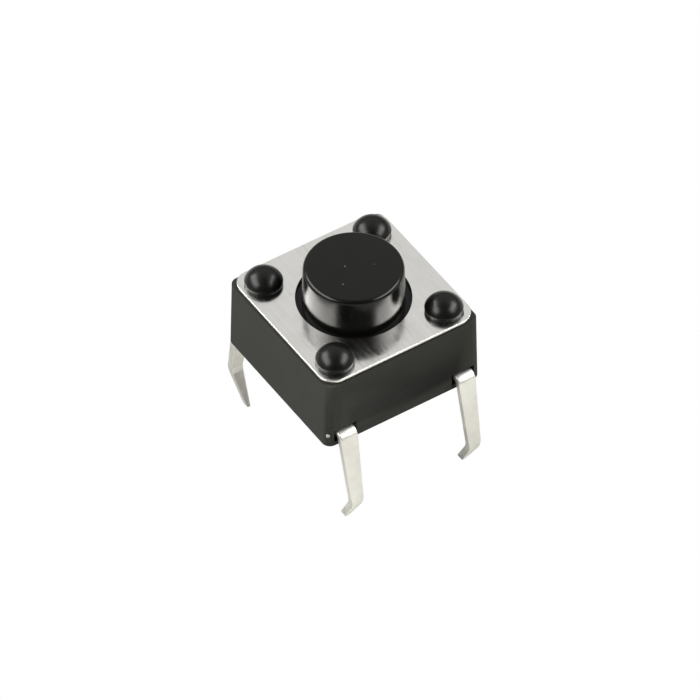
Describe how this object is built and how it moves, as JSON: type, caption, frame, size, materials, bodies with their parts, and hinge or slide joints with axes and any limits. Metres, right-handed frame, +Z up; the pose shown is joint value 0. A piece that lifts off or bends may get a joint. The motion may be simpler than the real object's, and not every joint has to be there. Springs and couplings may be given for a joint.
{
  "type": "tactile push button switch",
  "caption": "Through-hole momentary push switch with a square moulded base, riveted metal cover plate, round button, snap dome and formed leads.",
  "frame": {"origin": "centre of the base's seating face, where it meets the circuit board", "axes": "+Z up out of the board towards the button; the leads leave the two X faces; Y runs along those faces"},
  "size_m": [0.0074, 0.006, 0.0077],
  "materials": {
    "base_plastic": "satin moulded black plastic, with polished heads on the staked posts",
    "cover_steel": "fine grain along X, fairly bright",
    "button_plastic": "semi-gloss moulded black plastic",
    "dome_steel": "bright spring steel",
    "lead_plating": "soft bright tin or silver plating"
  },
  "bodies": {
    "switch_body": {"base_housing": "base_plastic", "cover_plate": "cover_steel", "snap_dome": "dome_steel", "rim_terminal": "lead_plating", "centre_terminal": "lead_plating"},
    "plunger": {"button": "button_plastic"}
  },
  "joints": [
    {"name": "button_press", "type": "slide", "parent": "switch_body", "child": "plunger", "axis": [0, 0, -1], "range_m": [0, 0.00025], "stiffness_N_per_m": 6400, "deforming": ["snap_dome"]}
  ]
}
